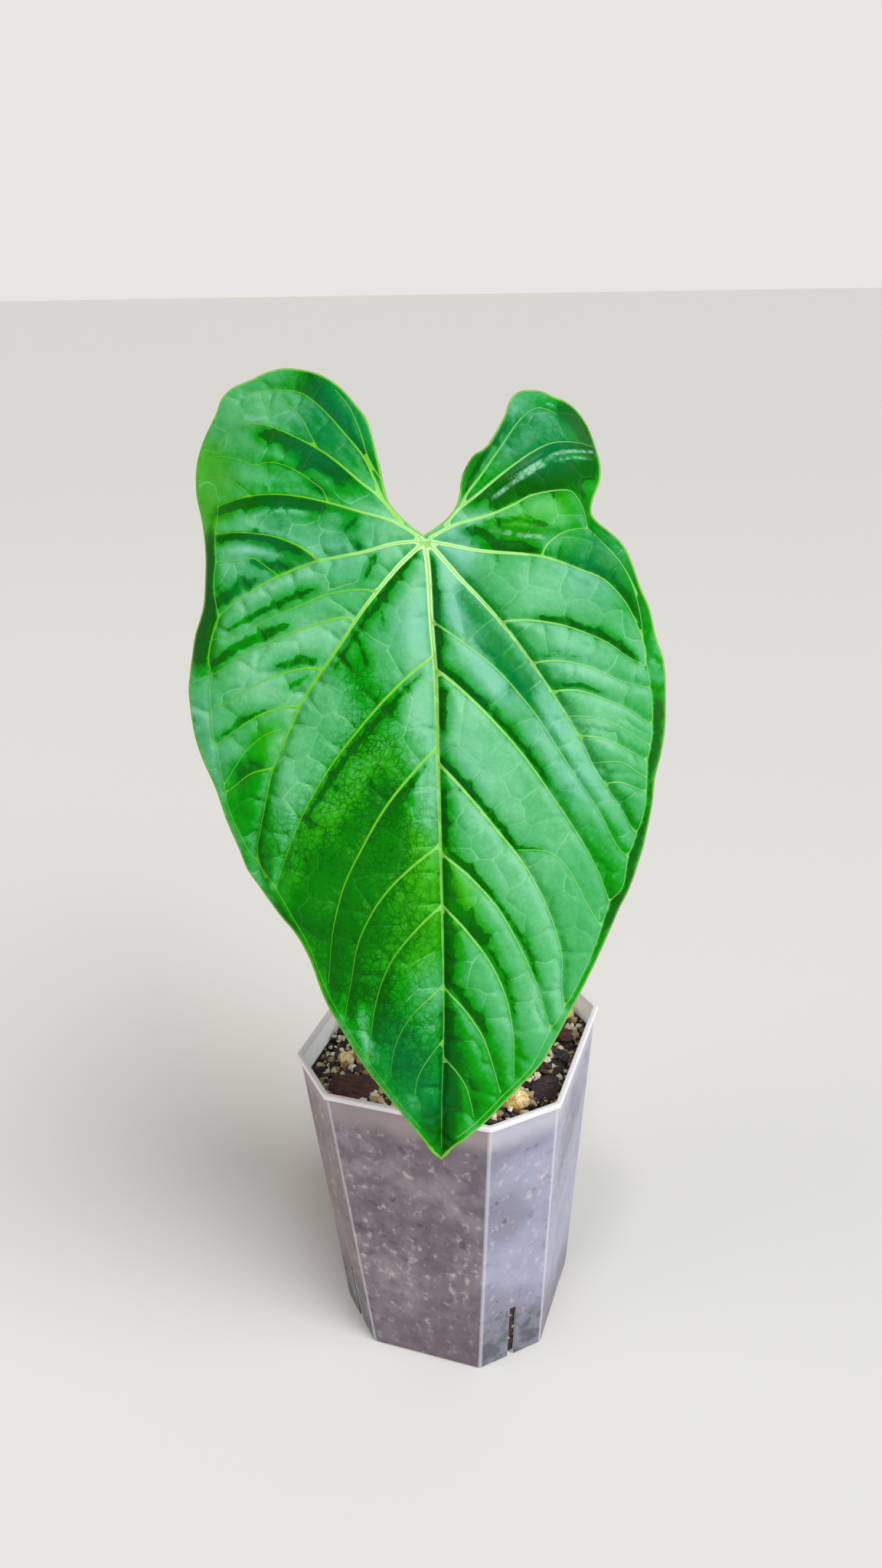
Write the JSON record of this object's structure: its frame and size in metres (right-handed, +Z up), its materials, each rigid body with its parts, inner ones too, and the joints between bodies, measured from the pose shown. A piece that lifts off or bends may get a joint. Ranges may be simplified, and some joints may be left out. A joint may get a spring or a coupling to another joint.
{
  "type": "potted anthurium",
  "caption": "Leafy house plant: a large heart-shaped green leaf with pale veins on an upright stalk, in a tall frosted plastic pot of bark and pumice mix.",
  "frame": {"origin": "middle of the pot's underside, on the surface that it stands on", "axes": "+Z up, +X and +Y square to the pot's wide faces; the leaf faces between -Y and +X"},
  "size_m": [0.163, 0.1445, 0.4006],
  "materials": {
    "frosted_plastic": "frosted translucent plastic, clouded by the damp mix behind it",
    "growing_mix": "loose, rough and matt: dark bark fines with cream granules",
    "bark": "rough red-brown bark",
    "pumice": "porous and matt",
    "charcoal": "matt black with dull sheen",
    "stem": "smooth green-brown stem",
    "dry_bract": "dry, papery and fibrous",
    "stalk": "smooth green stalk",
    "leaf": "leathery leaf with a soft gloss"
  },
  "bodies": {
    "root": {"pot": "frosted_plastic", "substrate": "growing_mix", "stem_base": "stem", "cataphyll": "dry_bract", "petiole": "stalk", "leaf_blade": "leaf", "bark_chip_1": "bark", "bark_chip_2": "bark", "bark_chip_3": "bark", "bark_chip_4": "bark", "bark_chip_5": "bark", "bark_chip_6": "bark", "bark_chip_7": "bark", "pumice_chunk_1": "pumice", "pumice_chunk_2": "pumice", "pumice_chunk_3": "pumice", "pumice_chunk_4": "pumice", "pumice_chunk_5": "pumice", "pumice_chunk_6": "pumice", "pumice_chunk_7": "pumice", "pumice_chunk_8": "pumice", "charcoal_lump_1": "charcoal", "charcoal_lump_2": "charcoal", "charcoal_lump_3": "charcoal", "charcoal_lump_4": "charcoal", "charcoal_lump_5": "charcoal", "charcoal_lump_6": "charcoal"}
  },
  "joints": []
}
